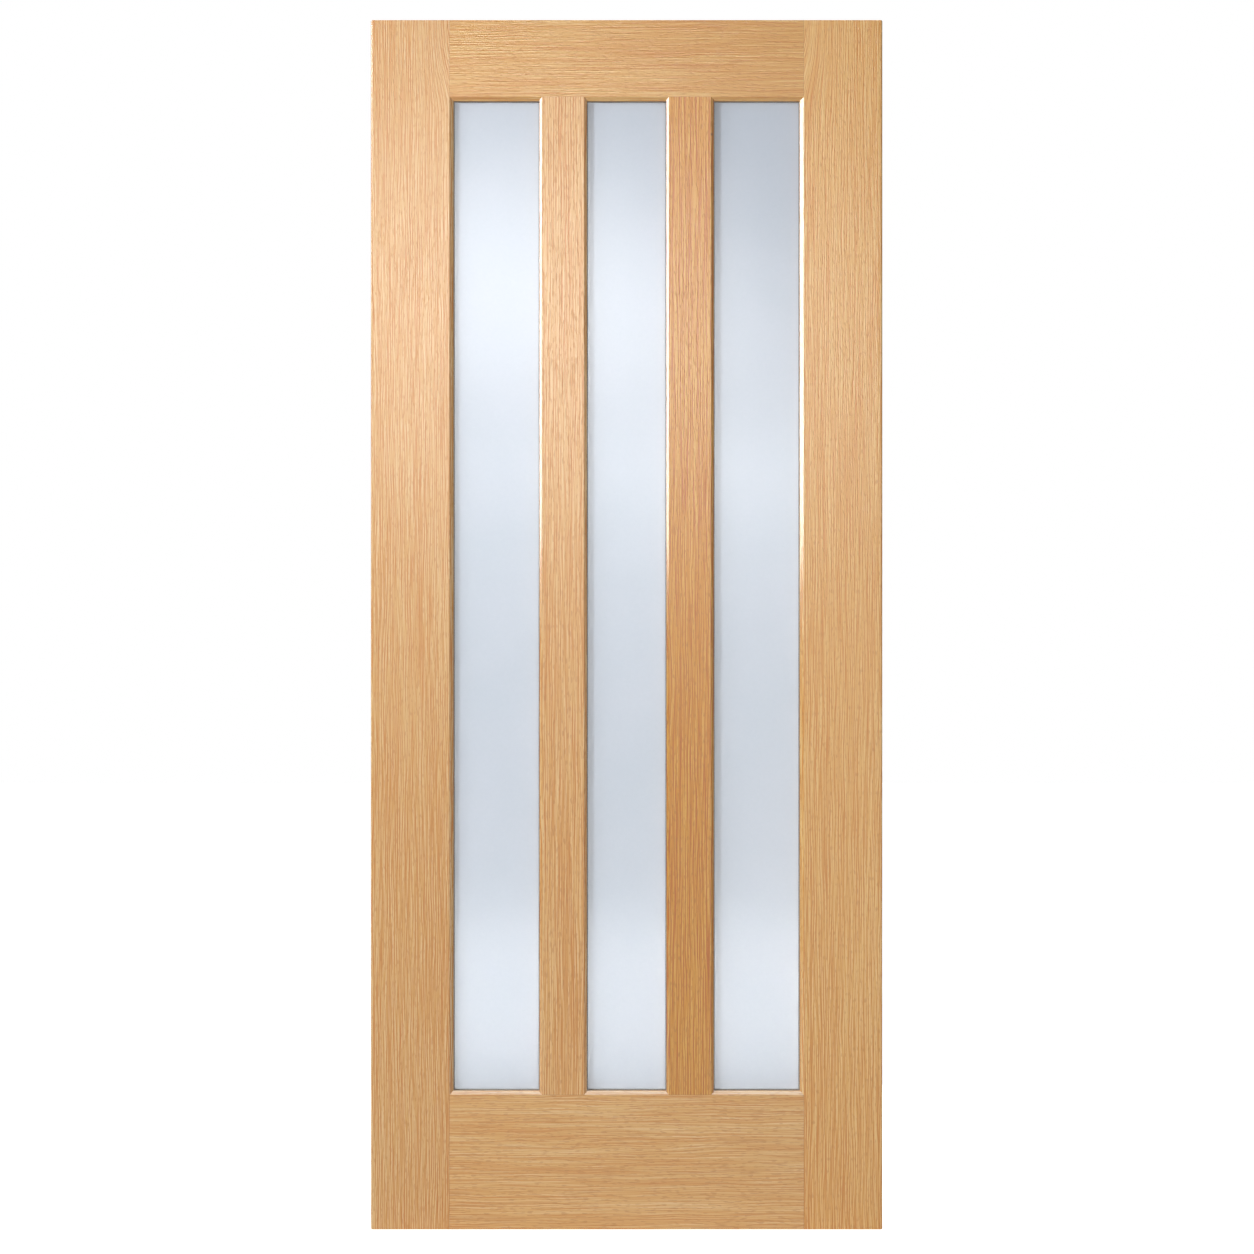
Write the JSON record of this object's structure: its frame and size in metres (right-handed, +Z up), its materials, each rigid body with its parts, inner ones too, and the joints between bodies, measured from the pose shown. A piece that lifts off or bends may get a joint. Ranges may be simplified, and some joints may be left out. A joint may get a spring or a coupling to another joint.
{
  "type": "glazed interior door leaf",
  "caption": "Oak interior door leaf with tall frosted glass lights between mullions, bevelled sticking and mitred glazing beads, hung on its long edge.",
  "frame": {"origin": "on the flat face of the hinge edge, at mid thickness, level with the foot of the leaf", "axes": "+X across the leaf from the hinge edge to the lock edge, +Y through the leaf from the front face to the beaded back, +Z up"},
  "size_m": [0.838, 0.035, 1.981],
  "materials": {
    "oak_face": "clear matt lacquer on straight-grained oak veneer",
    "oak_solid": "clear matt lacquer on solid oak",
    "frosted_glass": "acid-etched toughened glass, satin",
    "glazing_tape": "matt grey foam"
  },
  "bodies": {
    "root": {"left_stile": "oak_face", "right_stile": "oak_face", "left_edge_lipping": "oak_solid", "right_edge_lipping": "oak_solid", "top_rail": "oak_face", "bottom_rail": "oak_face", "left_mullion": "oak_face", "right_mullion": "oak_face", "left_glass": "frosted_glass", "middle_glass": "frosted_glass", "right_glass": "frosted_glass", "left_front_tape": "glazing_tape", "left_back_tape": "glazing_tape", "middle_front_tape": "glazing_tape", "middle_back_tape": "glazing_tape", "right_front_tape": "glazing_tape", "right_back_tape": "glazing_tape", "left_light_bottom_bead": "oak_solid", "left_light_top_bead": "oak_solid", "left_light_left_bead": "oak_solid", "left_light_right_bead": "oak_solid", "middle_light_bottom_bead": "oak_solid", "middle_light_top_bead": "oak_solid", "middle_light_left_bead": "oak_solid", "middle_light_right_bead": "oak_solid", "right_light_bottom_bead": "oak_solid", "right_light_top_bead": "oak_solid", "right_light_left_bead": "oak_solid", "right_light_right_bead": "oak_solid"}
  },
  "joints": []
}
